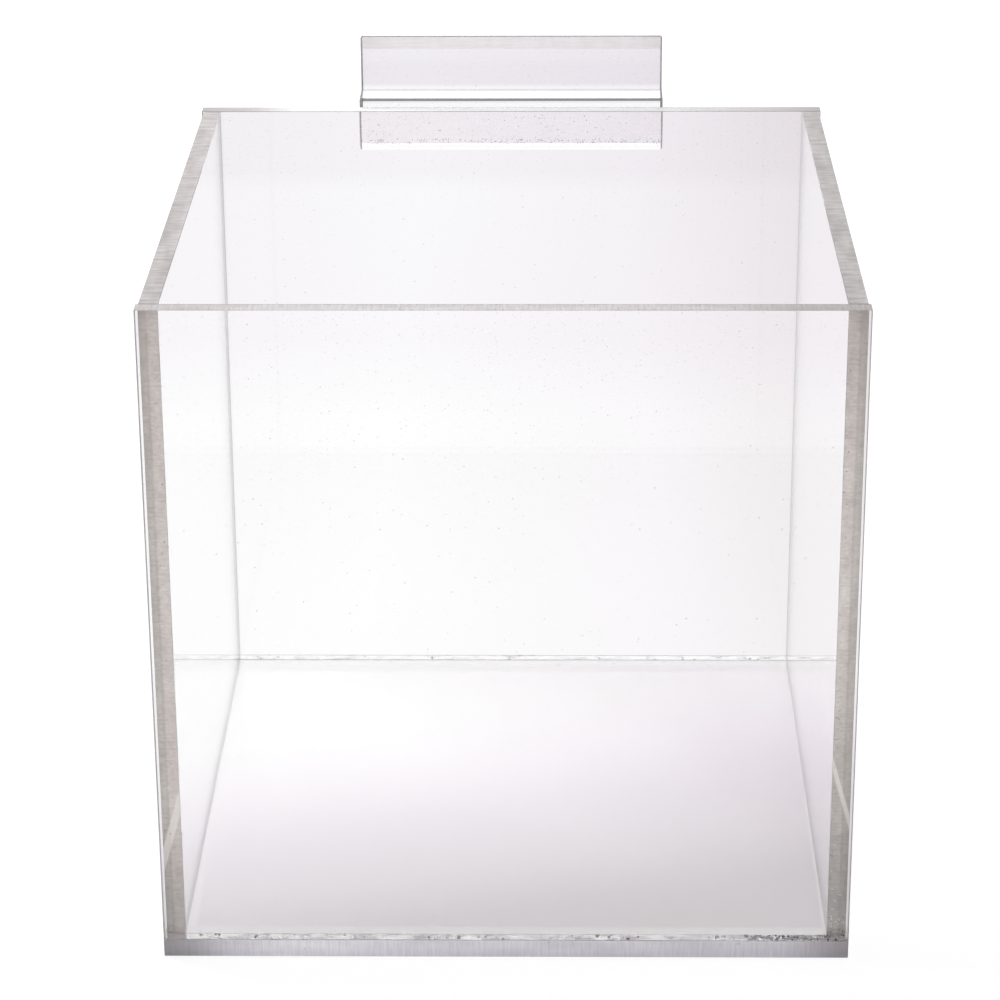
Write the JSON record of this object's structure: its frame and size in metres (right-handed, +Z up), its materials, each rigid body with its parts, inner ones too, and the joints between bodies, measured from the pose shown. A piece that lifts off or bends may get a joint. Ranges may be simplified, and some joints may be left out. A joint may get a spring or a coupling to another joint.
{
  "type": "slatwall display bin",
  "caption": "Clear open-topped display bin of cemented flat panels, with a hook strip on its back that hangs it in a slatwall groove.",
  "frame": {"origin": "middle of the base's underside", "axes": "+Z up out of the open top, -Y out of the front panel, +Y towards the slatwall, +X to the right seen from the front"},
  "size_m": [0.1524, 0.1653, 0.1676],
  "materials": {
    "clear_sheet": "polished clear cast acrylic sheet with saw-cut edges",
    "clear_extrusion": "glossy clear extruded acrylic",
    "cured_cement": "cured solvent cement over saw-cut edges, with air bubbles"
  },
  "bodies": {
    "root": {"base_panel": "clear_sheet", "front_panel": "clear_sheet", "back_panel": "clear_sheet", "left_side_panel": "clear_sheet", "right_side_panel": "clear_sheet", "slatwall_cleat": "clear_extrusion", "cement_front_base": "cured_cement", "cement_back_base": "cured_cement", "cement_left_base": "cured_cement", "cement_right_base": "cured_cement", "cement_left_front": "cured_cement", "cement_right_front": "cured_cement", "cement_left_back": "cured_cement", "cement_right_back": "cured_cement", "cement_cleat_back": "cured_cement"}
  },
  "joints": []
}
